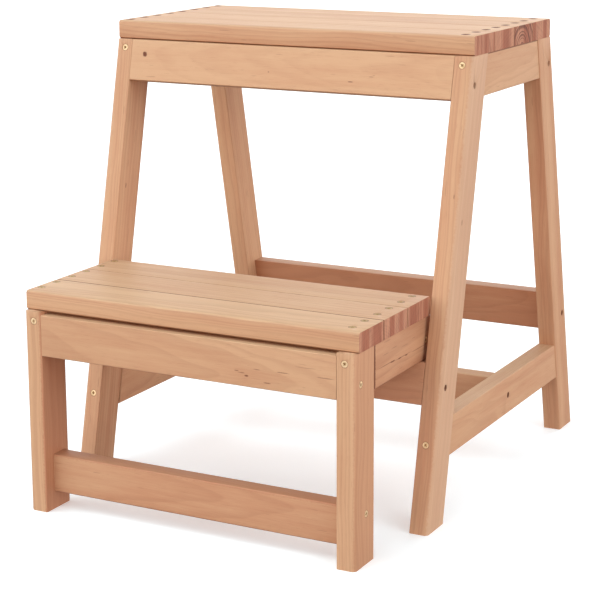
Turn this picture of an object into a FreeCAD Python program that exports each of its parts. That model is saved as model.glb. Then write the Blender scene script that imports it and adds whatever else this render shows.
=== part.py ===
import FreeCAD, Part
import math
import os

# A wooden step stool of two steps. The lower step swings up and over on two
# butt hinges and comes to lie upside down inside the frame of the upper one.
# Sizes are in millimetres. X runs to the right, Y to the back and Z up, and
# the floor is at z = 0.

# Timber
board = 20.5                  # thickness of every board
leg_width = 40.0              # upper leg, measured square to its front face
lower_leg_width = 42.0
rail_height = 43.0
apron_height = 44.0
low_rail_height = 42.0

# Upper step
step_height = 500.0           # tread above the floor
step_length = 430.0
step_depth = 220.0
slat_count = 4
slat_gap = 0.5
splay = 12.2                  # lean of the legs, degrees
leg_proud = 3.5               # leg in front of the tread's edge, just under it
side_inset = 1.0              # side boards lie this far inside the legs' faces
low_rail_top = 111.0
middle_rail_back = 115.5      # middle cross rail's centre behind the tread's front edge

# Lower step
lower_height = 239.0
lower_depth = 165.4
lower_slat_count = 3
lower_slat_gap = 1.1
swing_gap = 1.6               # between the lower tread and an upper leg, each side
lower_leg_inset = 1.1         # lower leg inside the tread's end
lower_rail_inset = 2.4        # lower side rail inside the tread's end
lower_leg_proud = 5.8         # lower leg in front of the tread's edge
front_rail_drop = 2.9         # gap between the tread and the front rail
rail_end_gap = 2.0            # gap between a lower leg and the side rail
lower_stretcher_top = 60.8
lower_stretcher_inset = 14.5  # behind the legs' front faces

# Soft edges, as chamfer sizes
tread_edge = 2.0
slat_edge = 0.5
end_edge = 0.35
leg_edge = 3.0                # outer front edge of every leg
joint_edge = 0.9              # the legs' other edges, and boards that meet a leg flush
rail_edge = 1.8               # boards set back from the legs

# Wood screws, countersunk
shank_radius = 1.6
head_radius = 3.5
head_height = 2.2
screw_gap = 0.12              # between a screw and its hole
screw_sides = 12
flush_depth = 0.0             # head below the wood's surface
tread_screw_depth = 2.2
sunk_depth = 7.0              # head at the bottom of a deep hole in a leg's side
tread_screw_length = 36.0
leg_screw_length = 70.0
side_screw_length = 42.0
screw_in_left = 7.0           # tread screws from the tread's left end
screw_in_right = 16.0         # and from its right end
upper_screw_rows = (14.5, 42.0)   # tread screws from each slat's front edge
lower_screw_rows = (18.0, 45.0)

# Butt hinges
hinge_in = 73.0               # hinge's middle from the lower tread's end
hinge_length = 40.0
hinge_leaf_height = 24.0
hinge_leaf_thickness = 1.5
hinge_setback = 3.0           # hinge axis behind the cross rail's rear top edge
hinge_rise = 3.0              # and above it
barrel_radius = 2.7
barrel_gap = 0.3
pin_radius = 1.5
pin_gap = 0.05

# Places that follow from the sizes above
lean = math.tan(math.radians(splay))
lean_cos = math.cos(math.radians(splay))
lean_sin = math.sin(math.radians(splay))
leg_run = leg_width / lean_cos            # leg measured level
board_run = board / lean_cos              # leaning board measured level
under_tread = step_height - board
under_lower_tread = lower_height - board
half_length = step_length / 2
leg_inner = half_length - board
lower_half = leg_inner - swing_gap
lower_leg_outer = lower_half - lower_leg_inset
lower_rail_outer = lower_half - lower_rail_inset
foot_reach = leg_proud + lean * under_tread
lower_tread_rear = leg_proud + lean * (step_height - board - lower_height)
lower_front_reach = lower_tread_rear + lower_depth + lower_leg_proud
tread_front = (lower_front_reach - step_depth - foot_reach) / 2
tread_middle = tread_front + step_depth / 2
lower_tread_front = tread_front - lower_tread_rear - lower_depth
lower_leg_front = lower_tread_front - lower_leg_proud
lower_leg_rear = lower_leg_front + lower_leg_width
hinge_z = (lower_height + low_rail_top) / 2    # so the folded tread lies on the low rails
cross_rail_top = hinge_z - hinge_rise
hinge_place = lower_half - hinge_in


def front_face(z):
    """Y of the front legs' front faces at height z."""
    return tread_front - leg_proud - lean * (under_tread - z)


hinge_y = front_face(cross_rail_top) + board_run + hinge_setback
lower_rear = hinge_y - hinge_setback - barrel_gap


def mirrored(y):
    """The same place seen from the rear of the upper step."""
    return 2 * tread_middle - y


def prism(outline, x_from, x_to):
    """Solid between two X planes from (y, z) corners."""
    corners = [FreeCAD.Vector(x_from, y, z) for y, z in outline]
    face = Part.Face(Part.makePolygon(corners + corners[:1]))
    return face.extrude(FreeCAD.Vector(x_to - x_from, 0, 0))


def block(x_from, x_to, y_from, y_to, z_from, z_to):
    size = (x_to - x_from, y_to - y_from, z_to - z_from)
    return Part.makeBox(*size, FreeCAD.Vector(x_from, y_from, z_from))


def long_edges(shape, along):
    """The edges that run along the given direction."""
    direction = FreeCAD.Vector(*along).normalize()
    edges = []
    for edge in shape.Edges:
        if abs(edge.tangentAt(edge.FirstParameter).dot(direction)) > 0.999:
            edges.append(edge)
    return edges


def soften(shape, along, size):
    """Chamfer the long edges."""
    return shape.makeChamfer(size, long_edges(shape, along))


def soften_leg(leg, along, x_outer, x_inner, y_front, y_back):
    """Chamfer a leg's outer front edge widely and its other three long edges a little."""
    corners = {
        (x_outer, y_front): leg_edge, (x_inner, y_front): joint_edge,
        (x_outer, y_back): joint_edge, (x_inner, y_back): joint_edge,
    }
    for (x, y), size in corners.items():
        foot = Part.Vertex(x, y, 0)
        edges = [edge for edge in long_edges(leg, along) if edge.distToShape(foot)[0] < 0.001]
        leg = leg.makeChamfer(size, edges)
    return leg


def slat(half, y_front, y_rear, z_top, front_edge, rear_edge):
    """One tread board, its long edges softened by their own sizes."""
    z_low = z_top - board
    outline = [
        (y_front + front_edge, z_low), (y_rear - rear_edge, z_low),
        (y_rear, z_low + rear_edge), (y_rear, z_top - rear_edge),
        (y_rear - rear_edge, z_top), (y_front + front_edge, z_top),
        (y_front, z_top - front_edge), (y_front, z_low + front_edge),
    ]
    body = prism(outline, -half, half)
    ends = []
    for edge in body.Edges:
        if abs(edge.BoundBox.XMin) == half and edge.BoundBox.XLength < 0.001:
            ends.append(edge)
    return body.makeChamfer(end_edge, ends)


def tread(name, half, y_front, depth, z_top, count, gap):
    """A row of slats as named boards."""
    width = (depth - gap * (count - 1)) / count
    slats = {}
    for index in range(count):
        start = y_front + index * (width + gap)
        front_edge = tread_edge if index == 0 else slat_edge
        rear_edge = tread_edge if index == count - 1 else slat_edge
        board_name = f"{name}_{index + 1}"
        slats[board_name] = slat(half, start, start + width, z_top, front_edge, rear_edge)
    return slats


def leaning_board(x_from, x_to, thickness, z_top, z_low, edge):
    """A board in the plane of the front legs, its front flush with theirs."""
    depth = thickness / lean_cos
    low_front = front_face(z_low)
    square_drop = thickness * lean_sin
    outline = [
        (front_face(z_top), z_top), (low_front, z_low),
        (low_front + thickness * lean_cos, z_low - square_drop),
        (front_face(z_top) + depth, z_top),
    ]
    return soften(prism(outline, x_from, x_to), (1, 0, 0), edge)


def front_leg(x_outer):
    """Upper front leg: cut level at the floor and under the tread."""
    outline = [
        (front_face(0), 0), (front_face(0) + leg_run, 0),
        (front_face(under_tread) + leg_run, under_tread),
        (front_face(under_tread), under_tread),
    ]
    inner = x_outer - math.copysign(board, x_outer)
    leg = prism(outline, min(inner, x_outer), max(inner, x_outer))
    return soften_leg(leg, (0, lean, 1), x_outer, inner, front_face(0), front_face(0) + leg_run)


def side_board(x_outer, z_top, z_low):
    """A board from a front leg to a rear leg, its ends cut to their lean."""
    outline = [
        (front_face(z_low) + leg_run, z_low), (mirrored(front_face(z_low) + leg_run), z_low),
        (mirrored(front_face(z_top) + leg_run), z_top), (front_face(z_top) + leg_run, z_top),
    ]
    inner = x_outer - math.copysign(board, x_outer)
    body = prism(outline, min(inner, x_outer), max(inner, x_outer))
    return soften(body, (0, 1, 0), joint_edge)


def flipped(shape):
    """The front piece turned into its rear twin."""
    plane = FreeCAD.Vector(0, tread_middle, 0)
    return shape.mirror(plane, FreeCAD.Vector(0, 1, 0))


def upper_boards():
    boards = tread("upper_slat", half_length, tread_front, step_depth, step_height, slat_count, slat_gap)
    side_outer = half_length - side_inset
    for side, sign in (("left", -1), ("right", 1)):
        leg = front_leg(sign * half_length)
        boards[f"leg_front_{side}"] = leg
        boards[f"leg_rear_{side}"] = flipped(leg)
        boards[f"apron_{side}"] = side_board(sign * side_outer, under_tread, under_tread - apron_height)
        boards[f"stretcher_{side}"] = side_board(sign * side_outer, low_rail_top, low_rail_top - low_rail_height)
    apron = leaning_board(-leg_inner, leg_inner, board, under_tread, under_tread - apron_height, joint_edge)
    rail = leaning_board(-leg_inner, leg_inner, board, cross_rail_top, cross_rail_top - rail_height, joint_edge)
    boards["apron_front"] = apron
    boards["apron_rear"] = flipped(apron)
    boards["cross_rail_front"] = rail
    boards["stretcher_rear"] = flipped(rail)
    middle_front = tread_front + middle_rail_back - board / 2
    middle_half = side_outer - board
    middle = block(-middle_half, middle_half, middle_front, middle_front + board,
                   low_rail_top - low_rail_height, low_rail_top)
    boards["cross_rail_middle"] = soften(middle, (1, 0, 0), rail_edge)
    return boards


def lower_boards():
    boards = tread("lower_slat", lower_half, lower_tread_front, lower_depth, lower_height,
                   lower_slat_count, lower_slat_gap)
    for side, sign in (("left", -1), ("right", 1)):
        x_outer = sign * lower_leg_outer
        x_inner = x_outer - sign * board
        leg = block(min(x_inner, x_outer), max(x_inner, x_outer), lower_leg_front, lower_leg_rear,
                    0, under_lower_tread)
        boards[f"lower_leg_{side}"] = soften_leg(leg, (0, 0, 1), x_outer, x_inner, lower_leg_front, lower_leg_rear)
        x_near, x_far = sorted((sign * (lower_rail_outer - board), sign * lower_rail_outer))
        rail = block(x_near, x_far, lower_leg_rear + rail_end_gap, lower_rear, cross_rail_top, under_lower_tread)
        boards[f"lower_rail_{side}"] = soften(rail, (0, 1, 0), rail_edge)
    inner = lower_leg_outer - board
    front_top = under_lower_tread - front_rail_drop
    front = block(-inner, inner, lower_leg_front, lower_leg_front + board, front_top - apron_height, front_top)
    boards["lower_rail_front"] = soften(front, (1, 0, 0), joint_edge)
    low_front = lower_leg_front + lower_stretcher_inset
    low = block(-inner, inner, low_front, low_front + board,
                lower_stretcher_top - low_rail_height, lower_stretcher_top)
    boards["lower_stretcher"] = soften(low, (1, 0, 0), rail_edge)
    inner = lower_rail_outer - board
    rear = block(-inner, inner, lower_rear - board, lower_rear, cross_rail_top, under_lower_tread)
    boards["lower_rail_rear"] = soften(rear, (1, 0, 0), rail_edge)
    return boards


def along(place, direction, shape):
    """Move a shape made on the Z axis so that +Z points in the given direction."""
    turn = FreeCAD.Rotation(FreeCAD.Vector(0, 0, 1), FreeCAD.Vector(*direction))
    moved = shape.copy()
    moved.Placement = FreeCAD.Placement(FreeCAD.Vector(*place), turn)
    return moved


def many_sided(sections):
    """Solid through rings about the Z axis, each a (radius, z) pair.

    Screws and their holes repeat dozens of times, so their rings have few sides.
    """
    rings = []
    for radius, z in sections:
        ring = []
        for index in range(screw_sides):
            angle = 2 * math.pi * index / screw_sides
            ring.append(FreeCAD.Vector(radius * math.cos(angle), radius * math.sin(angle), z))
        rings.append(ring)
    outlines = [rings[0], rings[-1]]
    for low, high in zip(rings, rings[1:]):
        for index in range(screw_sides):
            after = (index + 1) % screw_sides
            outlines.append([low[index], low[after], high[after], high[index]])
    faces = [Part.Face(Part.makePolygon(outline + outline[:1])) for outline in outlines]
    solid = Part.Solid(Part.Shell(faces))
    return solid if solid.Volume > 0 else solid.reversed()


def screw(place, direction, length, depth):
    """A countersunk screw, its head that deep below the place where it enters."""
    cone = depth + head_height
    body = many_sided([(head_radius, depth), (shank_radius, cone), (shank_radius, depth + length)])
    return along(place, direction, body)


def screw_hole(place, direction, length, depth):
    """The space that a screw needs, open at the surface."""
    wide = head_radius + screw_gap
    narrow = shank_radius + screw_gap
    mouth = [(wide, -screw_gap), (wide, depth)] if depth > 0 else [(wide, 0)]
    seat = [(narrow, depth + head_height), (narrow, depth + length + screw_gap)]
    return along(place, direction, many_sided(mouth + seat))


def wood_screws(spots, length, depth):
    return [(place, direction, length, depth) for place, direction in spots]


def tread_spots(half, y_front, depth, z_top, count, gap, rows):
    """Screws down through both ends of every slat."""
    pitch = (depth + gap) / count
    spots = []
    for index in range(count):
        for row in rows:
            for x in (screw_in_left - half, half - screw_in_right):
                spots.append(((x, y_front + index * pitch + row, z_top), (0, 0, -1)))
    return spots


def sides(x, y, z):
    """The same screw from the left and from the right, pointing inward."""
    return [((-x, y, z), (1, 0, 0)), ((x, y, z), (-1, 0, 0))]


def upper_screws():
    leg_face_x = half_length - side_inset - board / 2
    leg_spots = []
    for x in (-leg_face_x, leg_face_x):
        for z in (under_tread - 9.0, low_rail_top - low_rail_height / 2):
            leg_spots.append(((x, front_face(z), z), (0, lean_cos, -lean_sin)))
            leg_spots.append(((x, mirrored(front_face(z)), z), (0, -lean_cos, -lean_sin)))
    deep_spots = []
    for z in (under_tread - apron_height * 0.68, cross_rail_top - rail_height * 0.6):
        y = front_face(z) + board_run * 0.56
        deep_spots += sides(half_length, y, z) + sides(half_length, mirrored(y), z)
    deep_spots += sides(half_length - side_inset, tread_front + middle_rail_back,
                        low_rail_top - low_rail_height / 2)
    slats = tread_spots(half_length, tread_front, step_depth, step_height, slat_count, slat_gap, upper_screw_rows)
    return {
        "upper_slat_screws": wood_screws(slats, tread_screw_length, tread_screw_depth),
        "upper_leg_screws": wood_screws(leg_spots, leg_screw_length, flush_depth),
        "upper_side_screws": wood_screws(deep_spots, side_screw_length, sunk_depth),
    }


def lower_screws():
    rail_x = lower_rail_outer - board / 2
    leg_spots = [((x, lower_leg_front, under_lower_tread - 10.0), (0, 1, 0)) for x in (-rail_x, rail_x)]
    side_spots = sides(lower_leg_outer, lower_leg_front + board * 0.6, under_lower_tread - 32.0)
    side_spots += sides(lower_leg_outer, lower_leg_front + lower_stretcher_inset + board / 2,
                        lower_stretcher_top - 8.5)
    side_spots += sides(lower_rail_outer, lower_rear - board / 2, cross_rail_top + rail_height / 2)
    slats = tread_spots(lower_half, lower_tread_front, lower_depth, lower_height,
                        lower_slat_count, lower_slat_gap, lower_screw_rows)
    return {
        "lower_slat_screws": wood_screws(slats, tread_screw_length, flush_depth),
        "lower_leg_screws": wood_screws(leg_spots, leg_screw_length, flush_depth),
        "lower_side_screws": wood_screws(side_spots, side_screw_length, flush_depth),
    }


def barrel(x_from, x_to, radius):
    start = FreeCAD.Vector(x_from, hinge_y, hinge_z)
    return Part.makeCylinder(radius, x_to - x_from, start, FreeCAD.Vector(1, 0, 0))


def leaf_outline_fixed(above):
    """The fixed leaf lies on the leaning rear face of the cross rail, up to a length above its edge."""
    edge_y = front_face(cross_rail_top) + board_run
    outline = []
    for rise, out in ((-hinge_leaf_height, 0), (-hinge_leaf_height, 1), (above, 1), (above, 0)):
        reach = out * hinge_leaf_thickness
        outline.append((edge_y + rise * lean_sin + reach * lean_cos, cross_rail_top + rise * lean_cos - reach * lean_sin))
    return outline


def hinge(x):
    """Fixed leaf, moving leaf and pin of the hinge whose middle is at x."""
    x_from = x - hinge_length / 2
    third = hinge_length / 3
    knuckle = third - barrel_gap
    bore = barrel(x_from - 1, x_from + hinge_length + 1, pin_radius + pin_gap)
    fixed = prism(leaf_outline_fixed(0), x_from, x_from + hinge_length)
    tab_rise = hinge_setback * lean_sin + hinge_rise * lean_cos
    for start in (x_from, x_from + hinge_length - knuckle):
        fixed = fixed.fuse(prism(leaf_outline_fixed(tab_rise), start, start + knuckle))
        fixed = fixed.fuse(barrel(start, start + knuckle, barrel_radius))
    plate_clear = barrel_radius + 1.3
    plate_y = (lower_rear, lower_rear + hinge_leaf_thickness)
    moving = block(x_from, x_from + hinge_length, *plate_y,
                   hinge_z + plate_clear, hinge_z + hinge_leaf_height)
    middle = x_from + third + barrel_gap / 2
    moving = moving.fuse(block(middle, middle + knuckle, *plate_y, hinge_z, hinge_z + plate_clear))
    moving = moving.fuse(barrel(middle, middle + knuckle, barrel_radius))
    pin = barrel(x_from, x_from + hinge_length, pin_radius)
    return fixed.cut(bore).removeSplitter(), moving.cut(bore).removeSplitter(), pin


def drilled(pieces, groups):
    """Cut every screw's hole out of each piece that the screw reaches."""
    holes = [screw_hole(*spec) for specs in groups.values() for spec in specs]
    for name, piece in pieces.items():
        reached = [hole for hole in holes if hole.BoundBox.intersect(piece.BoundBox)]
        if reached:
            pieces[name] = piece.cut(reached)
    return pieces


def build():
    pieces = {**upper_boards(), **lower_boards()}
    pins = {}
    for side, sign in (("left", -1), ("right", 1)):
        fixed, moving, pin = hinge(sign * hinge_place)
        pieces[f"hinge_leaf_fixed_{side}"] = fixed
        pieces[f"hinge_leaf_moving_{side}"] = moving
        pins[f"hinge_pin_{side}"] = pin
    groups = {**upper_screws(), **lower_screws()}
    pieces = drilled(pieces, groups)
    pieces.update(pins)
    for name, specs in groups.items():
        pieces[name] = Part.makeCompound([screw(*spec) for spec in specs])
    return pieces


os.makedirs("parts", exist_ok=True)
for name, shape in build().items():
    shape.exportStep(f"parts/{name}.step")
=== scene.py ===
import bmesh, bpy, math, random
import numpy as np
from mathutils import Matrix, Vector


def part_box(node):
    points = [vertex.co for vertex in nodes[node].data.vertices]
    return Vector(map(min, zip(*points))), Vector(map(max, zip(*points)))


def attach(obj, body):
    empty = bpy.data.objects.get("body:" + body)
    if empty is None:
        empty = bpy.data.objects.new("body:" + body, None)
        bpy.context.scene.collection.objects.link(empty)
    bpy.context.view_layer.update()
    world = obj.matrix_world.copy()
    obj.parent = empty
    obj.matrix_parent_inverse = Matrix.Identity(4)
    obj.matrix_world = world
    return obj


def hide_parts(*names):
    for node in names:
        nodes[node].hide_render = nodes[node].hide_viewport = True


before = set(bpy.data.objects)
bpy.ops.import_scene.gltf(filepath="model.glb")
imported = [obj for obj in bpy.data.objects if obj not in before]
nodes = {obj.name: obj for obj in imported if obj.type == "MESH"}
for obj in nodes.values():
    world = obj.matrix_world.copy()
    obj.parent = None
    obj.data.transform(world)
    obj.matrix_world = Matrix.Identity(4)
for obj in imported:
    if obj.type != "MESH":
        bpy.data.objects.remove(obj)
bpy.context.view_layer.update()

# Driving values, in metres and degrees unless a comment says otherwise
MM = 0.001
SPLAY = 12.2                # lean of the upper legs
WELD_DISTANCE = 0.01 * MM
SAME_CORNER = 0.001 * MM    # corners of a solid closer than this are one
CRISP_ANGLE = 35            # metal edges sharper than this stay crisp

# Camera
LENS = 110.0                # millimetres
SENSOR_WIDTH = 36.0         # millimetres
SHIFT_DOWN = 0.1            # part of the picture's width
CAMERA_PLACE = (0.927, -1.778, 0.689)
CAMERA_TURN = 27.87         # to the left of straight at the front
CAMERA_DOWN = 12.11
CAMERA_ROLL = -0.29

# Turned screws
HEAD_RADIUS = 3.45 * MM
HEAD_HEIGHT = 2.2 * MM
HEAD_SIDES = 24
HEAD_FLAT = 0.9             # part of the radius that lies inside the rounded rim
HEAD_RIM = ((0.975, 0.05), (1.0, 0.18), (0.97, 0.3))    # parts of the radius, and millimetres below the top
SHANK_RADIUS = 1.6 * MM
RECESS_REACH = 1.75 * MM
RECESS_HALF_WIDTH = 0.55 * MM
RECESS_DEPTH = 1.5 * MM
RECESS_FLOOR = (0.45, 0.7)  # the floor's reach and half width, as parts of the recess's own
DISH_DEPTH = 0.1 * MM       # the head's face sinks by this towards its recess
CONE_END = 1.1              # this and the next four are parts of the shank's radius
THREAD_ROOT = 0.74
THREAD_PITCH = 0.9
TIP_RADIUS = 0.12
POINT_LENGTH = 2.2

# Screws of the hinge leaves, and the leaves
LEAF_SCREW_RADIUS = 2.6 * MM
LEAF_SCREW_SIDES = 20
LEAF_SCREW_SPACING = 13 * MM
LEAF_SCREW_RISE = 0.45 * MM
LEAF_SCREW_LENGTH = 16 * MM
LEAF_HEIGHT = 24 * MM
LEAF_THICKNESS = 1.5 * MM
MOVING_SCREWS_DOWN = 0.4    # from a moving leaf's top to its screws, as a part of its height
HINGE_SETBACK = 3 * MM      # the pin is this far behind and above the cross rail's edge
BARREL_GAP = 0.3 * MM

# Studio light: the room's brightness below the horizon, at it and overhead, and the spans of a direction's
# height over which it changes. The lamps are far away, each with its azimuth (0 at the object's front, 90 at
# its right), elevation, strength and softness.
ROOM = (0.38, 2.66, 0.09)
ROOM_LOW = (-0.08, 0.02)
ROOM_HIGH = (0.1, 0.6)
ROOM_COLOR = (1, 0.86, 0.83, 1)
LAMPS = (
    (-30, 55, 1.45, 50),
    (80, 40, 1.2, 50),
    (-80, 40, 1.1, 50),
    (180, 50, 1.1, 50),
)
LAMP_COLOR = (0.75, 0.94, 1)
FLOOR_REACH = 40.0
FLOOR_COLOR = (0.9, 0.9, 0.9, 1)
FLOOR_ROUGHNESS = 0.9
FLOOR_GLOW = 0.25

# Wood colours, linear
PALE = (0.63, 0.382, 0.22, 1)
PINK = (0.53, 0.261, 0.143, 1)
LATE = (0.34, 0.13, 0.068, 1)
# Colour of real flecks and knots, and also of the painted shade in slat gaps, under the treads and in screw
# holes
FLECK_AND_SHADE = (0.14, 0.034, 0.012, 1)
# Painted shade: a redder tint for faces that lie in shade. Painted light: a paler tint for a lit face
PAINTED_SHADE_RED = (0.43, 0.13, 0.06, 1)
PAINTED_LIGHT_PALE = (0.72, 0.52, 0.36, 1)
END_RED = (0.395, 0.146, 0.084, 1)
END_TAN = (0.55, 0.27, 0.165, 1)
END_DARK = (0.15, 0.055, 0.038, 1)
WOOD_SPECULAR = 0.3

# Noise in a board: features per millimetre along, across and through it, detail and roughness
BOARD_NOISE = {
    "wander": (0.006, 0.02, 0.02, 2.0, 0.5),
    "streaks": (0.007, 0.16, 0.16, 5.0, 0.62),
    "fibres": (0.05, 1.7, 1.7, 2.0, 0.6),
    "pores": (0.085, 2.4, 2.4, 1.0, 0.5),
    "patches": (0.012, 0.03, 0.03, 1.0, 0.5),
    "dashes": (0.045, 0.62, 0.62, 0.0, 0.5),
    "end_streaks": (0.02, 0.75, 0.05, 3.0, 0.6),
}
# Noise along one number: features per millimetre, and detail
LINE_NOISE = {
    "uneven_rings": (0.12, 1.0),
    "ring_bands": (0.075, 2.0),
    "end_bands": (0.045, 2.0),
}
LINE_NOISE_SEED = 7.3       # a board's seed moves its line noise by this much
WANDER = 14                 # millimetres that the rings stray sideways
UNEVEN_RINGS = 2.2
LATE_RISE = (0.35, 0.88)    # where in a year's ring its dark part comes
LATE_FALL = (0.91, 1.0)     # and where it goes
PORES = (0.62, 0.74)        # noise from which pores begin, and from which they are full
DASHES = (0.79, 0.83)
BAND_TONE = 6.5             # times the board's figure
STREAK_TONE = 1.3
PATCH_TONE = 0.7
FIBRE_TONE = 0.7
PORE_COLOR_SHARE = 0.28
DASH_COLOR_SHARE = 0.25
END_BANDS = (0.4, 0.6)      # noise from which an end is tan, and from which it is red
END_STREAK_MIDDLE = 0.45
END_STREAK_GAIN = 1.9
END_FACING = (0.55, 0.9)    # how squarely a face looks along the board, for side grain and for end grain
ROUGH_LEAST = 0.43
ROUGH_FIBRES = 0.16
ROUGH_END = 0.2
RAISED_FIBRES = 0.5
SUNK_PORES = 0.35
SUNK_LATE = 0.2
WOOD_BUMP = (0.35, 0.4 * MM)    # strength and height

# Boards: direction, lean, heart of the log (across, through), taper, ring width, figure, tone, seed
BOARDS = {
    "upper_slat_1": ("x", 0, (-95, -60), 0.01, 3.4, 0.2, 0.42, 1.3),
    "upper_slat_2": ("x", 0, (70, -150), 0.006, 3.1, 0.16, 0.4, 2.1),
    "upper_slat_3": ("x", 0, (-4, -12), 0.012, 4.4, 0.22, 0.45, 3.7),
    "upper_slat_4": ("x", 0, (-60, -120), 0.008, 3.6, 0.16, 0.4, 4.9),
    "lower_slat_1": ("x", 0, (40, -130), 0.01, 3.3, 0.2, 0.1, 5.2),
    "lower_slat_2": ("x", 0, (-75, -90), 0.008, 3.0, 0.2, 0.32, 6.8),
    "lower_slat_3": ("x", 0, (90, -60), 0.008, 3.4, 0.2, 0.32, 7.4),
    "apron_front": ("x", 90 - SPLAY, (4, -34), -0.05, 4.0, 0.07, 0.12, 8.1),
    "apron_rear": ("x", 90 + SPLAY, (10, -80), 0.05, 4.0, 0.16, 0.4, 9.6),
    "apron_left": ("y", 0, (0, -60), 0.03, 3.8, 0.16, 0.4, 10.2),
    "apron_right": ("y", 0, (10, -70), 0.03, 3.8, 0.14, 0.05, 11.5),
    "leg_front_left": ("z", -SPLAY, (-70, 60), 0.01, 3.6, 0.18, 0.42, 12.3),
    "leg_front_right": ("z", -SPLAY, (60, 80), 0.012, 3.6, 0.2, 0.48, 13.9),
    "leg_rear_left": ("z", SPLAY, (-80, 40), 0.01, 3.6, 0.18, 0.2, 14.4),
    "leg_rear_right": ("z", SPLAY, (70, -60), 0.01, 3.6, 0.2, 0.4, 15.7),
    "lower_leg_left": ("z", 0, (50, 90), 0.008, 3.4, 0.18, -0.05, 16.2),
    "lower_leg_right": ("z", 0, (-60, 80), 0.008, 3.4, 0.18, -0.05, 17.8),
    "stretcher_left": ("y", 0, (0, 90), 0.02, 3.6, 0.16, 0.5, 18.1),
    "stretcher_right": ("y", 0, (-10, 80), 0.02, 3.6, 0.14, 0.35, 19.6),
    "stretcher_rear": ("x", 90 + SPLAY, (20, 90), 0.03, 3.6, 0.18, 1.0, 20.7),
    "cross_rail_front": ("x", 90 - SPLAY, (10, -80), 0.04, 3.6, 0.16, 1.05, 21.3),
    "cross_rail_middle": ("x", 90, (0, -90), 0.03, 3.6, 0.16, 0.6, 22.9),
    "lower_rail_front": ("x", 90, (-12, -60), 0.05, 5.0, 0.16, 0.1, 23.2),
    "lower_rail_left": ("y", 0, (0, -70), 0.03, 3.6, 0.16, 0.5, 24.6),
    "lower_rail_right": ("y", 0, (16, -64), 0.01, 3.2, 0.26, 0.7, 25.4),
    "lower_rail_rear": ("x", 90, (0, -80), 0.03, 3.6, 0.16, 0.5, 26.8),
    "lower_stretcher": ("x", 90, (0, 90), 0.03, 4.0, 0.16, 0.7, 27.1),
}

# How clearly the growth rings show on a board's ends
END_RINGS = {"upper_slat_3": 0.8}
END_RINGS_ELSEWHERE = 0.15

# Painted shade along the gaps between slats: how dark at a slat's front edge and at its rear edge
JOINT_SHADE_WIDTH = 0.7 * MM
JOINT_SHADE = {
    "upper_slat_1": (0, 0.15),
    "upper_slat_2": (0.15, 0.12),
    "upper_slat_3": (0.12, 0.15),
    "upper_slat_4": (0.15, 0),
    "lower_slat_1": (0, 0.65),
    "lower_slat_2": (0.65, 0.2),
    "lower_slat_3": (0.2, 0),
}

# Painted shade: thin dark lines along a board where another meets it, under the treads and above the side
# aprons: across, through and reach in millimetres, and strength
CONTACT_SHADE_CORE = 0.8             # part of the reach that has the full strength
CONTACT_SHADE_LINES = {
    "upper_slat_1": (-27.3, -10.4, 1.9, 0.75),
    "upper_slat_4": (27.3, -10.4, 1.9, 0.75),
    "lower_slat_1": (-27.2, -10.4, 1.9, 0.5),
    "apron_right": (22.0, 10.3, 1.4, 0.7),
    "apron_left": (22.0, 10.3, 1.4, 0.7),
}

# Screws: the body that carries them, and their finish; the dark finish is painted shade on heads that sit
# deep in shaded holes
SCREWS = {
    "upper_slat_screws": ("upper_step", "dark"),
    "upper_leg_screws": ("upper_step", "bright"),
    "upper_side_screws": ("upper_step", "dark"),
    "lower_slat_screws": ("lower_step", "worn"),
    "lower_leg_screws": ("lower_step", "pale"),
    "lower_side_screws": ("lower_step", "pale"),
}

# Painted shade on the walls of the screw holes, and a dark ring round each head that is partly dirt and
# partly painted shade: depth of the hole above the head and reach in millimetres, and strength
SCREW_HOLE_SHADE = {
    "upper_slat_screws": (2.2, 5.1, 0.95),
    "upper_leg_screws": (0, 4.0, 0.5),
    "upper_side_screws": (7, 4.6, 0.9),
    "lower_slat_screws": (0, 4.1, 0.8),
    "lower_leg_screws": (0, 4.0, 0.5),
    "lower_side_screws": (0, 4.0, 0.5),
}
SPOT_EDGE = (0.94, 1.06)    # parts of the reach between which a spot fades
SPOT_MARGIN = 8 * MM        # a screw darkens the boards that come this close to it
FAINT_SPOTS_ABOVE = 0.4     # upper_side_screws higher than this get fainter painted shade in their holes
FAINT_SPOT = 0.35

# Brass of the screws: bright and dull colour, and roughness
FINISHES = {
    "bright": ((0.74, 0.58, 0.35, 1), (0.52, 0.39, 0.21, 1), 0.36),
    "pale": ((1.0, 0.84, 0.56, 1), (0.78, 0.62, 0.38, 1), 0.5),
    "worn": ((0.56, 0.4, 0.17, 1), (0.33, 0.23, 0.09, 1), 0.4),
    # dark: painted shade, brass darkened for heads deep in their holes
    "dark": ((0.22, 0.13, 0.06, 1), (0.12, 0.065, 0.03, 1), 0.5),
    "slot": ((0.6, 0.42, 0.21, 1), (0.36, 0.23, 0.11, 1), 0.5),
}
SCREW_SCRATCHES = (900, 900, 900)   # scratches per metre along x, y and z
HINGE_FINISH = ((0.8, 0.6, 0.3, 1), (0.6, 0.42, 0.19, 1), 0.24)
HINGE_SCRATCHES = (4000, 40, 40)
BRASS_CLOUDS = (260.0, 3.0)     # dull patches: scale and detail
BRASS_DULL = (0.4, 0.7)     # noise from which brass is dull, and from which it is fully dull
BRASS_SCRATCH_ROUGH = 0.18
BRASS_BUMP = (0.2, 0.1 * MM)    # strength and height
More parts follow.
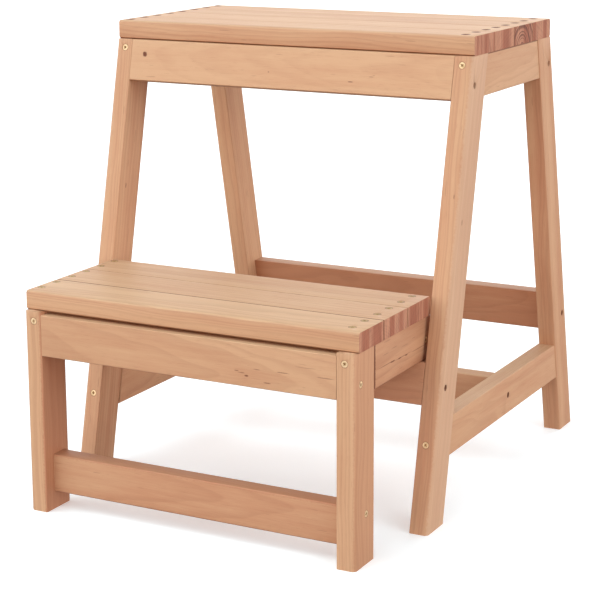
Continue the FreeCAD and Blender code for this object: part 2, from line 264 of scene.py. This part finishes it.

# Knots, flecks and dark streaks on the boards; painted shade in the gap at the front end of each lower side
# rail; and whole faces tinted, redder as painted shade where they lie in shade and paler as painted light
# where lit:
# middle and reach along, across and through in millimetres, strength, and colour where it isn't the fleck
# colour
MARKS = {
    "apron_front": (
        ((-177, 6.8, 10), (3.0, 3.5, 5), 0.95),
        ((-178.3, 6.8, 10), (1.2, 2.6, 5), 0.8),
        ((79.5, -10.4, 10), (3.4, 0.6, 3), 0.85),
        ((103, -4, 10), (3.6, 0.7, 3), 0.35),
        ((106, -2.4, 10), (1.8, 0.6, 3), 0.3),
        ((-19, -5, 10), (1.2, 0.9, 3), 0.5),
    ),
    "leg_front_left": (((78, -7, -10), (3.4, 0.9, 3), 0.7),),
    "leg_rear_right": (((92, 17, 10), (1.5, 1.1, 3), 0.6),),
    # Painted shade: these three redder tints cover faces that lie in shade
    "lower_leg_left": (((0, 0, -12), (900, 90, 5), 0.5, PAINTED_SHADE_RED),),
    "lower_leg_right": (((0, 0, -12), (900, 90, 5), 0.27, PAINTED_SHADE_RED),),
    "lower_stretcher": (((0, 23, 0), (900, 5, 90), 0.35, PAINTED_SHADE_RED),),
    "leg_front_right": (
        # Painted light: a paler tint on this leg's lit outer side
        ((0, 0, -12), (900, 90, 5), 0.38, PAINTED_LIGHT_PALE),
        ((72.6, -7.4, -10), (3.6, 1.0, 3), 0.6),
        ((98, -20, -4), (3.0, 3, 0.9), 0.45),
    ),
    "lower_rail_front": (
        ((62, -6.5, 10), (2.7, 0.7, 3), 0.6),
        ((67.5, -8, 10), (4.2, 0.6, 3), 0.5),
        ((73, -10.5, 10), (2.6, 1.1, 3), 0.8),
        ((85, -2.8, 10), (4.2, 0.55, 3), 0.5),
        ((96.5, -15, 10), (4.8, 0.7, 3), 0.6),
        ((113.5, -2.4, 10), (7.8, 0.55, 3), 0.6),
        ((160, -1.8, 10), (10, 0.6, 3), 0.5),
    ),
    # Painted shade in the gap between this rail's front end and the leg
    "lower_rail_left": (((-66.7, 0, -10), (3.4, 90, 12), 0.9),),
    "lower_rail_right": (
        # Painted shade in the gap between this rail's front end and the leg
        ((-66.7, 0, 10), (3.4, 90, 12), 0.9),
        ((-38, -4.2, 10), (24, 0.5, 3), 0.6),
        ((0, -5.3, 10), (24, 0.5, 3), 0.6),
        ((38, -6.4, 10), (21, 0.5, 3), 0.55),
        ((-24, -4.6, 10), (6, 0.9, 3), 0.85),
        ((-8, -5.4, 10), (5, 0.8, 3), 0.8),
        ((8, -6, 10), (4, 0.8, 3), 0.8),
        ((-40, 7, 10), (8, 0.45, 3), 0.4),
        ((-20, 9, 10), (7, 0.45, 3), 0.4),
        ((5, 5, 10), (9, 0.4, 3), 0.35),
    ),
}
MARK_EDGE = (0.9, 1.45)     # a mark fades between these parts of its reach
MARK_RAGGED = 0.7           # how much noise wears its edge
MARK_NOISE = (420.0, 2.0)   # scale and detail of that noise


# Shader building blocks

def node(tree, kind, inputs=None, **settings):
    """A shader node with its settings. Each input gets a value, or a link from another node's output."""
    made = tree.nodes.new("ShaderNode" + kind)
    for name, value in settings.items():
        setattr(made, name, value)
    for name, value in (inputs or {}).items():
        if isinstance(value, bpy.types.NodeSocket):
            tree.links.new(value, made.inputs[name])
        else:
            made.inputs[name].default_value = value
    return made


def calc(tree, operation, first, second=0.0, third=0.0):
    """One sum of a shader, such as ADD or MULTIPLY."""
    return node(tree, "Math", {0: first, 1: second, 2: third}, operation=operation).outputs[0]


def vector_calc(tree, operation, first, second=(0, 0, 0), out="Vector"):
    """One sum of a shader on three numbers at once."""
    return node(tree, "VectorMath", {0: first, 1: second}, operation=operation).outputs[out]


def spread(tree, value, low, high, to_low=0.0, to_high=1.0):
    """The value's span from low to high, stretched smoothly to another span."""
    inputs = {"Value": value, "From Min": low, "From Max": high, "To Min": to_low, "To Max": to_high}
    return node(tree, "MapRange", inputs, interpolation_type="SMOOTHSTEP").outputs["Result"]


def blended(tree, amount, first, second):
    """A colour between two, by an amount from 0 to 1."""
    return node(tree, "Mix", {0: amount, 6: first, 7: second}, data_type="RGBA").outputs[2]


def scaled_offset(tree, value, middle, gain):
    """How far a value is from a middle one, times a gain."""
    return calc(tree, "MULTIPLY", calc(tree, "SUBTRACT", value, middle), gain)


def board_noise(tree, point, seed, kind, out="Fac"):
    """Noise in a board, with more or fewer features along each of its axes."""
    along, across, through, detail, rough = BOARD_NOISE[kind]
    scaled = vector_calc(tree, "MULTIPLY", point, (along, across, through))
    inputs = {"Vector": scaled, "W": seed, "Scale": 1.0, "Detail": detail, "Roughness": rough}
    return node(tree, "TexNoise", inputs, noise_dimensions="4D").outputs[out]


def line_noise(tree, value, seed, kind):
    """Noise along one number, such as the distance from the heart of the log."""
    scale, detail = LINE_NOISE[kind]
    moved = calc(tree, "MULTIPLY", seed, LINE_NOISE_SEED)
    place = calc(tree, "ADD", calc(tree, "MULTIPLY", value, scale), moved)
    inputs = {"W": place, "Scale": 1.0, "Detail": detail}
    return node(tree, "TexNoise", inputs, noise_dimensions="1D").outputs["Fac"]


# Wood

def ring_radius(tree, point, given):
    """Distance from the heart of the log, which wanders and tapers along the board."""
    wander = board_noise(tree, point, given["Seed"], "wander", "Color")
    wander = vector_calc(tree, "SUBTRACT", wander, (0.5, 0.5, 0.5))
    wander = vector_calc(tree, "MULTIPLY", wander, (0, WANDER, WANDER))
    from_heart = vector_calc(tree, "SUBTRACT", vector_calc(tree, "ADD", point, wander), given["Heart"])
    sideways = vector_calc(tree, "MULTIPLY", from_heart, (0, 1, 1))
    radius = vector_calc(tree, "LENGTH", sideways, out="Value")
    along = node(tree, "SeparateXYZ", {0: point}).outputs["X"]
    return calc(tree, "ADD", radius, calc(tree, "MULTIPLY", along, given["Taper"]))


def late_wood(tree, radius, given):
    """Growth rings: 0 in the pale wood of spring, rising to 1 where the year ends."""
    uneven = calc(tree, "MULTIPLY", line_noise(tree, radius, given["Seed"], "uneven_rings"), UNEVEN_RINGS)
    turns = calc(tree, "ADD", calc(tree, "DIVIDE", radius, given["Ring"]), uneven)
    year = calc(tree, "FRACT", turns)
    rise = spread(tree, year, *LATE_RISE)
    fall = spread(tree, year, *LATE_FALL, 1.0, 0.0)
    return calc(tree, "MULTIPLY", rise, fall)


def side_grain(tree, point, radius, late, fibres, pores, given):
    """Colour of the faces along the board."""
    seed = given["Seed"]
    bands = line_noise(tree, radius, seed, "ring_bands")
    streaks = board_noise(tree, point, seed, "streaks")
    patches = board_noise(tree, point, seed, "patches")
    dashes = spread(tree, board_noise(tree, point, seed, "dashes"), *DASHES)
    shifts = (
        (bands, calc(tree, "MULTIPLY", given["Figure"], BAND_TONE)),
        (streaks, STREAK_TONE),
        (patches, PATCH_TONE),
        (fibres, FIBRE_TONE),
    )
    tone = given["Tone"]
    for value, gain in shifts:
        tone = calc(tree, "ADD", tone, scaled_offset(tree, value, 0.5, gain))
    color = blended(tree, node(tree, "Clamp", {"Value": tone}).outputs[0], PALE, PINK)
    color = blended(tree, calc(tree, "MULTIPLY", late, given["Figure"]), color, LATE)
    color = blended(tree, calc(tree, "MULTIPLY", pores, PORE_COLOR_SHARE), color, LATE)
    return blended(tree, calc(tree, "MULTIPLY", dashes, DASH_COLOR_SHARE), color, FLECK_AND_SHADE)


def end_grain(tree, point, late, given):
    """Colour of the board's ends: red and tan bands, upright streaks and rings."""
    seed = given["Seed"]
    across = node(tree, "SeparateXYZ", {0: point}).outputs["Y"]
    redness = spread(tree, line_noise(tree, across, seed, "end_bands"), *END_BANDS)
    streaks = board_noise(tree, point, seed, "end_streaks")
    dark = calc(tree, "MULTIPLY", late, given["End Rings"])
    dark = calc(tree, "ADD", dark, scaled_offset(tree, streaks, END_STREAK_MIDDLE, END_STREAK_GAIN))
    color = blended(tree, redness, END_TAN, END_RED)
    return blended(tree, node(tree, "Clamp", {"Value": dark}).outputs[0], color, END_DARK)


def grain_group():
    """Shader group of sawn timber: colour, roughness and height at a point in the board's axes."""
    tree = bpy.data.node_groups.new("timber", "ShaderNodeTree")
    vectors = ("Point", "Heart")
    for name in ("Point", "End", "Seed", "Heart", "Taper", "Ring", "Figure", "Tone", "End Rings"):
        kind = "NodeSocketVector" if name in vectors else "NodeSocketFloat"
        tree.interface.new_socket(name, in_out="INPUT", socket_type=kind)
    for name in ("Color", "Rough", "Height"):
        kind = "NodeSocketColor" if name == "Color" else "NodeSocketFloat"
        tree.interface.new_socket(name, in_out="OUTPUT", socket_type=kind)
    given = tree.nodes.new("NodeGroupInput").outputs
    point = vector_calc(tree, "MULTIPLY", given["Point"], (1 / MM, 1 / MM, 1 / MM))
    radius = ring_radius(tree, point, given)
    late = late_wood(tree, radius, given)
    fibres = board_noise(tree, point, given["Seed"], "fibres")
    pores = spread(tree, board_noise(tree, point, given["Seed"], "pores"), *PORES)
    side = side_grain(tree, point, radius, late, fibres, pores, given)
    ends = end_grain(tree, point, late, given)

    rough = calc(tree, "ADD", ROUGH_LEAST, calc(tree, "MULTIPLY", fibres, ROUGH_FIBRES))
    rough = calc(tree, "ADD", rough, calc(tree, "MULTIPLY", given["End"], ROUGH_END))
    height = calc(tree, "MULTIPLY", fibres, RAISED_FIBRES)
    height = calc(tree, "SUBTRACT", height, calc(tree, "MULTIPLY", pores, SUNK_PORES))
    height = calc(tree, "SUBTRACT", height, calc(tree, "MULTIPLY", late, SUNK_LATE))
    result = tree.nodes.new("NodeGroupOutput").inputs
    tree.links.new(blended(tree, given["End"], side, ends), result["Color"])
    tree.links.new(rough, result["Rough"])
    tree.links.new(height, result["Height"])


def board_turn(run, lean):
    """Turn from a board's own axes (along, across, through) to the model's axes."""
    if run == "x":
        turn = Matrix.Rotation(math.radians(lean), 3, "X")
    elif run == "y":
        turn = Matrix.Rotation(math.radians(90), 3, "Z") @ Matrix.Rotation(math.radians(90), 3, "X")
    else:
        turn = Matrix.Rotation(math.radians(lean), 3, "X") @ Matrix.Rotation(math.radians(-90), 3, "Y")
    return turn


def marked(tree, point, color, middle, reach, strength, shade=FLECK_AND_SHADE):
    """The colour with a knot, fleck or stain, or with painted shade or painted light: a spot with a ragged
    soft edge at a place on the board.
    """
    away = vector_calc(tree, "SUBTRACT", point, [c * MM for c in middle])
    away = vector_calc(tree, "DIVIDE", away, [c * MM for c in reach])
    scale, detail = MARK_NOISE
    ragged = node(tree, "TexNoise", {"Vector": point, "Scale": scale, "Detail": detail}).outputs["Fac"]
    distance = vector_calc(tree, "LENGTH", away, out="Value")
    distance = calc(tree, "ADD", distance, calc(tree, "MULTIPLY", ragged, MARK_RAGGED))
    return blended(tree, spread(tree, distance, *MARK_EDGE, strength, 0.0), color, shade)


def hole_shaded(tree, point, color, place, reach, strength):
    """The colour with a round spot of painted shade at a screw, partly dirt in the ring round its head."""
    near = vector_calc(tree, "DISTANCE", point, place, "Value")
    inner, outer = SPOT_EDGE
    return blended(tree, spread(tree, near, reach * inner, reach * outer, strength, 0.0), color, FLECK_AND_SHADE)


def contact_shaded(tree, point, color, across, through, reach, strength):
    """The colour with a thin line of painted shade along the board."""
    away = vector_calc(tree, "SUBTRACT", point, (0, across * MM, through * MM))
    away = vector_calc(tree, "MULTIPLY", away, (0, 1, 1))
    near = vector_calc(tree, "LENGTH", away, out="Value")
    return blended(tree, spread(tree, near, reach * CONTACT_SHADE_CORE * MM, reach * MM, strength, 0.0), color, FLECK_AND_SHADE)


def joint_shaded(tree, point, color, edge, side, strength):
    """The colour with painted shade towards one long edge. The side is -1 or 1, across the board."""
    across = node(tree, "SeparateXYZ", {0: point}).outputs["Y"]
    start = edge - side * JOINT_SHADE_WIDTH
    painted_shade = spread(tree, across, start, edge - side * JOINT_SHADE_WIDTH / 2, 0.0, strength)
    return blended(tree, painted_shade, color, FLECK_AND_SHADE)


def wood(name, spots, run, lean, heart, taper, ring, figure, tone, seed):
    """One board's own material. Its point is in the board's axes, from the board's middle."""
    material = bpy.data.materials.new("wood_" + name)
    material.use_nodes = True
    tree = material.node_tree
    shader = tree.nodes["Principled BSDF"]
    shader.inputs["Specular IOR Level"].default_value = WOOD_SPECULAR
    low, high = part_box(name)
    middle = (low + high) / 2
    turn = board_turn(run, lean)
    place = node(tree, "TexCoord")
    mapping = {"Vector": place.outputs["Object"], "Location": middle, "Rotation": turn.to_euler()}
    point = node(tree, "Mapping", mapping, vector_type="TEXTURE").outputs[0]
    facing = vector_calc(tree, "DOT_PRODUCT", place.outputs["Normal"], turn.col[0], "Value")
    end = spread(tree, calc(tree, "ABSOLUTE", facing), *END_FACING)
    inputs = {
        "Point": point, "End": end, "Seed": seed, "Heart": (0, *heart), "Taper": taper, "Ring": ring,
        "Figure": figure, "Tone": tone, "End Rings": END_RINGS.get(name, END_RINGS_ELSEWHERE),
    }
    timber = node(tree, "Group", inputs, node_tree=bpy.data.node_groups["timber"])

    color = timber.outputs["Color"]
    for mark in MARKS.get(name, ()):
        color = marked(tree, point, color, *mark)
    # Painted shade in the screw holes, and partly dirt round their heads
    for top, reach, strength in spots:
        color = hole_shaded(tree, point, color, turn.inverted() @ (top - middle), reach, strength)
    # Painted shade where another board meets this one
    if name in CONTACT_SHADE_LINES:
        color = contact_shaded(tree, point, color, *CONTACT_SHADE_LINES[name])
    # Painted shade in the gaps between slats
    for side, strength in zip((-1, 1), JOINT_SHADE.get(name, (0, 0))):
        if strength:
            color = joint_shaded(tree, point, color, side * (high.y - low.y) / 2, side, strength)
    tree.links.new(color, shader.inputs["Base Color"])
    tree.links.new(timber.outputs["Rough"], shader.inputs["Roughness"])
    strength, rise = WOOD_BUMP
    bump = node(tree, "Bump", {"Strength": strength, "Distance": rise, "Height": timber.outputs["Height"]})
    tree.links.new(bump.outputs[0], shader.inputs["Normal"])
    return material


def screw_hole_shade():
    """A spot for each screw: painted shade on the walls of its hole, and a thin ring round its head that is
    partly dirt and partly painted shade.
    """
    spots = []
    for name, (depth, reach, strength) in SCREW_HOLE_SHADE.items():
        for points in islands(nodes[name].data):
            top, axis = screw_stance(points)[:2]
            faint = name == "upper_side_screws" and top.z > FAINT_SPOTS_ABOVE
            spots.append((top + axis * depth * MM / 2, reach * MM, FAINT_SPOT if faint else strength))
    return spots


def is_near(place, low, high):
    """Whether a place is inside a board's box or just beside it."""
    return all(low[i] - SPOT_MARGIN < place[i] < high[i] + SPOT_MARGIN for i in range(3))


def welded(piece):
    """Joins the corners of a solid's faces, so that it can be shaded smoothly."""
    piece.modifiers.new("weld", "WELD").merge_threshold = WELD_DISTANCE
    for face in piece.data.polygons:
        face.use_smooth = True


def dress_boards():
    """Every sawn board keeps its solid and gets soft arrises and its own timber."""
    grain_group()
    spots = screw_hole_shade()
    for name, values in BOARDS.items():
        board = nodes[name]
        welded(board)
        board.modifiers.new("soft_edges", "WEIGHTED_NORMAL").keep_sharp = False
        finish = wood(name, [spot for spot in spots if is_near(spot[0], *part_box(name))], *values)
        for place in board.material_slots:
            place.material = finish


# Metal

def brass(name, bright, dull, rough, scratches_per_metre):
    """Brass with dull patches, and fine scratches along one axis where it is rolled sheet."""
    material = bpy.data.materials.new(name)
    material.use_nodes = True
    tree = material.node_tree
    shader = tree.nodes["Principled BSDF"]
    shader.inputs["Metallic"].default_value = 1.0
    point = node(tree, "TexCoord").outputs["Object"]
    scale, detail = BRASS_CLOUDS
    clouds = node(tree, "TexNoise", {"Vector": point, "Scale": scale, "Detail": detail}).outputs["Fac"]
    scaled = vector_calc(tree, "MULTIPLY", point, scratches_per_metre)
    scratches = node(tree, "TexNoise", {"Vector": scaled, "Scale": 1.0, "Detail": 2.0}).outputs["Fac"]
    color = blended(tree, spread(tree, clouds, *BRASS_DULL), bright, dull)
    tree.links.new(color, shader.inputs["Base Color"])
    roughness = calc(tree, "ADD", rough, calc(tree, "MULTIPLY", scratches, BRASS_SCRATCH_ROUGH))
    tree.links.new(roughness, shader.inputs["Roughness"])
    strength, rise = BRASS_BUMP
    bump = node(tree, "Bump", {"Strength": strength, "Distance": rise, "Height": scratches})
    tree.links.new(bump.outputs[0], shader.inputs["Normal"])
    return material


def islands(mesh):
    """The separate solids of a mesh, each as an array of its corners in a fixed order."""
    work = bmesh.new()
    work.from_mesh(mesh)
    bmesh.ops.remove_doubles(work, verts=work.verts, dist=SAME_CORNER)
    left = set(work.verts)
    found = []
    while left:
        edge = [left.pop()]
        group = []
        while edge:
            corner = edge.pop()
            group.append(corner)
            for link in corner.link_edges:
                other = link.other_vert(corner)
                if other in left:
                    left.remove(other)
                    edge.append(other)
        found.append(np.array(sorted(tuple(corner.co) for corner in group)))
    work.free()
    return sorted(found, key=lambda points: tuple(points.mean(0).round(5)))


def screw_stance(points):
    """Middle of a screw's head, the direction it points to at the head's side, and its length."""
    middle = points.mean(0)
    away = points - middle
    axis = np.linalg.svd(away)[2][0]
    heights = away @ axis
    widths = np.linalg.norm(away - np.outer(heights, axis), axis=1)
    if heights[widths.argmax()] < 0:
        axis = -axis
        heights = -heights
    top = middle + axis * heights.max()
    return Vector(top), Vector(axis), float(heights.max() - heights.min())


def ring_of(work, place, radius, height, sides):
    """Corners of a circle round the screw's axis."""
    return [work.verts.new(place @ Vector((radius * math.cos(2 * math.pi * i / sides),
                                           radius * math.sin(2 * math.pi * i / sides), height)))
            for i in range(sides)]


def cross_of(work, place, reach, half_width, height):
    """Corners of a cross slot, going round it."""
    corners = []
    for quarter in range(4):
        turn = Matrix.Rotation(quarter * math.pi / 2, 4, "Z")
        for x, y in ((reach, -half_width), (reach, half_width), (half_width, half_width)):
            corners.append(work.verts.new(place @ turn @ Vector((x, y, height))))
    return corners


def join_rings(work, lower, upper, finish=0):
    """Faces between two rings of corners, with the material of that number."""
    count = len(lower)
    for i in range(count):
        face = work.faces.new((lower[i], lower[(i + 1) % count], upper[(i + 1) % count], upper[i]))
        face.material_index = finish


def screw_profile(radius, scale, length):
    """Radius and height of each ring down a screw, from its rim to its point."""
    head = HEAD_HEIGHT * scale
    shank = SHANK_RADIUS * scale
    profile = [(radius * part, -below * MM * scale) for part, below in HEAD_RIM]
    profile.append((shank * CONE_END, -head))
    depth = head + shank
    pitch = shank * THREAD_PITCH
    while depth < length - shank * POINT_LENGTH - pitch:
        profile += [(shank, -depth), (shank * THREAD_ROOT, -depth - pitch / 2)]
        depth += pitch
    return profile + [(shank * THREAD_ROOT, -depth), (shank * TIP_RADIUS, -length)]


def add_screw(work, top, axis, length, spin, radius=HEAD_RADIUS, sides=HEAD_SIDES):
    """A countersunk screw with a cross slot: round rim, cone, shank with thread ridges, and a point."""
    place = Matrix.Translation(top) @ axis.to_track_quat("Z", "Y").to_matrix().to_4x4()
    place = place @ Matrix.Rotation(spin, 4, "Z")
    scale = radius / HEAD_RADIUS
    reach = RECESS_REACH * scale
    half = RECESS_HALF_WIDTH * scale
    rim = ring_of(work, place, radius * HEAD_FLAT, 0.0, sides)
    slot = cross_of(work, place, reach, half, -DISH_DEPTH * scale)
    floor = cross_of(work, place, reach * RECESS_FLOOR[0], half * RECESS_FLOOR[1], -RECESS_DEPTH * scale)
    borders = []
    for loop in (rim, slot):
        for i in range(len(loop)):
            borders.append(work.edges.new((loop[i], loop[(i + 1) % len(loop)])))
    bmesh.ops.triangle_fill(work, edges=borders, use_beauty=True)
    join_rings(work, slot, floor, 1)
    work.faces.new(floor).material_index = 1
    last = rim
    for width, height in screw_profile(radius, scale, length):
        ring = ring_of(work, place, width, height, sides)
        join_rings(work, ring, last)
        last = ring
    work.faces.new(list(reversed(last)))


def split_edges(piece):
    """Keeps the sharp edges of a smoothly shaded piece of metal crisp."""
    piece.modifiers.new("crisp", "EDGE_SPLIT").split_angle = math.radians(CRISP_ANGLE)


def piece_from(work, name, materials):
    """A smooth shaded piece with crisp edges, made of the corners and faces gathered so far."""
    bmesh.ops.recalc_face_normals(work, faces=work.faces)
    mesh = bpy.data.meshes.new(name)
    work.to_mesh(mesh)
    work.free()
    for material in materials:
        mesh.materials.append(material)
    made = bpy.data.objects.new(name, mesh)
    bpy.context.scene.collection.objects.link(made)
    for face in mesh.polygons:
        face.use_smooth = True
    split_edges(made)
    return made


def dress_screws(finishes):
    """Each group of plain screws is replaced by turned ones with a cross slot, in the same places."""
    for name, (body, finish) in SCREWS.items():
        spin = random.Random(name)
        work = bmesh.new()
        for points in islands(nodes[name].data):
            top, axis, length = screw_stance(points)
            add_screw(work, top, axis, length, spin.uniform(0, math.pi / 2))
        made = piece_from(work, "turned_" + name, (finishes[finish], finishes["slot"]))
        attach(made, body)
        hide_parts(name)


def leaf_screws(name, body, middles, outward, materials):
    """The row of three slightly raised screws that holds each hinge leaf."""
    spin = random.Random(name)
    work = bmesh.new()
    for middle in middles:
        for step in (-1, 0, 1):
            top = middle + Vector((step * LEAF_SCREW_SPACING, 0, 0)) + outward * LEAF_SCREW_RISE
            turn = spin.uniform(0, math.pi / 2)
            add_screw(work, top, outward, LEAF_SCREW_LENGTH, turn, LEAF_SCREW_RADIUS, LEAF_SCREW_SIDES)
    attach(piece_from(work, name, materials), body)


def dress_hinges(finishes):
    """The leaves and pins keep their solids and get brushed brass and screws."""
    plate = brass("hinge_brass_dressed", *HINGE_FINISH, HINGE_SCRATCHES)
    lean = math.radians(SPLAY)
    down = Vector((0, -math.sin(lean), -math.cos(lean)))
    back = Vector((0, math.cos(lean), -math.sin(lean)))
    fixed = []
    moving = []
    for side in ("left", "right"):
        for part in ("hinge_leaf_fixed_", "hinge_leaf_moving_", "hinge_pin_"):
            leaf = nodes[part + side]
            welded(leaf)
            split_edges(leaf)
            for place in leaf.material_slots:
                place.material = plate
        low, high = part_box("hinge_pin_" + side)
        axis = (low + high) / 2
        edge = axis - Vector((0, HINGE_SETBACK, HINGE_SETBACK))
        fixed.append(edge + down * LEAF_HEIGHT / 2 + back * LEAF_THICKNESS)
        rear = axis.y - HINGE_SETBACK - BARREL_GAP + LEAF_THICKNESS
        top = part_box("hinge_leaf_moving_" + side)[1].z
        moving.append(Vector((axis.x, rear, top - LEAF_HEIGHT * MOVING_SCREWS_DOWN)))
    materials = (finishes["bright"], finishes["slot"])
    leaf_screws("fixed_leaf_screws", "upper_step", fixed, back, materials)
    leaf_screws("moving_leaf_screws", "lower_step", moving, Vector((0, 1, 0)), materials)


# Light, floor and camera

def floor_piece():
    """A plain pale floor, large enough to fill the picture. The room's own light stands in for its bounce."""
    mesh = bpy.data.meshes.new("floor")
    corners = [(x * FLOOR_REACH, y * FLOOR_REACH, 0) for x, y in ((-1, -1), (1, -1), (1, 1), (-1, 1))]
    mesh.from_pydata(corners, [], [(0, 1, 2, 3)])
    made = bpy.data.objects.new("floor", mesh)
    bpy.context.scene.collection.objects.link(made)
    material = bpy.data.materials.new("floor_white")
    material.use_nodes = True
    shader = material.node_tree.nodes["Principled BSDF"]
    shader.inputs["Base Color"].default_value = FLOOR_COLOR
    shader.inputs["Roughness"].default_value = FLOOR_ROUGHNESS
    shader.inputs["Emission Color"].default_value = (1, 1, 1, 1)
    shader.inputs["Emission Strength"].default_value = FLOOR_GLOW
    mesh.materials.append(material)
    made.visible_diffuse = False
    made.visible_glossy = False


def lamp(azimuth, elevation, strength, softness):
    """A soft lamp far away."""
    data = bpy.data.lights.new("lamp", "SUN")
    data.energy = strength
    data.color = LAMP_COLOR
    data.angle = math.radians(softness)
    made = bpy.data.objects.new("lamp", data)
    bpy.context.scene.collection.objects.link(made)
    side = math.radians(azimuth)
    up = math.radians(elevation)
    source = Vector((math.sin(side) * math.cos(up), -math.cos(side) * math.cos(up), math.sin(up)))
    made.rotation_euler = source.to_track_quat("Z", "Y").to_euler()


def lights():
    """A pale room, brightest at the horizon, and the lamps."""
    world = bpy.data.worlds.new("studio")
    bpy.context.scene.world = world
    world.use_nodes = True
    tree = world.node_tree
    up = node(tree, "SeparateXYZ", {0: node(tree, "TexCoord").outputs["Generated"]}).outputs["Z"]
    below, level, above = ROOM
    low_part = spread(tree, up, *ROOM_LOW, below, level)
    high_part = spread(tree, up, *ROOM_HIGH, 0.0, above - level)
    background = tree.nodes["Background"]
    tree.links.new(calc(tree, "ADD", low_part, high_part), background.inputs["Strength"])
    background.inputs["Color"].default_value = ROOM_COLOR
    for values in LAMPS:
        lamp(*values)
    bpy.context.scene.view_settings.view_transform = "Standard"


def camera():
    """The photograph's view."""
    data = bpy.data.cameras.new("camera")
    data.lens = LENS
    data.sensor_width = SENSOR_WIDTH
    data.shift_y = -SHIFT_DOWN
    made = bpy.data.objects.new("camera", data)
    bpy.context.scene.collection.objects.link(made)
    turn = Matrix.Rotation(math.radians(CAMERA_TURN), 4, "Z")
    tilt = Matrix.Rotation(math.radians(90 - CAMERA_DOWN), 4, "X")
    roll = Matrix.Rotation(math.radians(CAMERA_ROLL), 4, "Z")
    made.matrix_world = Matrix.Translation(CAMERA_PLACE) @ (turn @ tilt) @ roll
    bpy.context.scene.camera = made


dress_boards()
finishes = {name: brass("screw_brass_" + name, *values, SCREW_SCRATCHES) for name, values in FINISHES.items()}
dress_screws(finishes)
dress_hinges(finishes)
floor_piece()
lights()
camera()
bpy.context.view_layer.update()
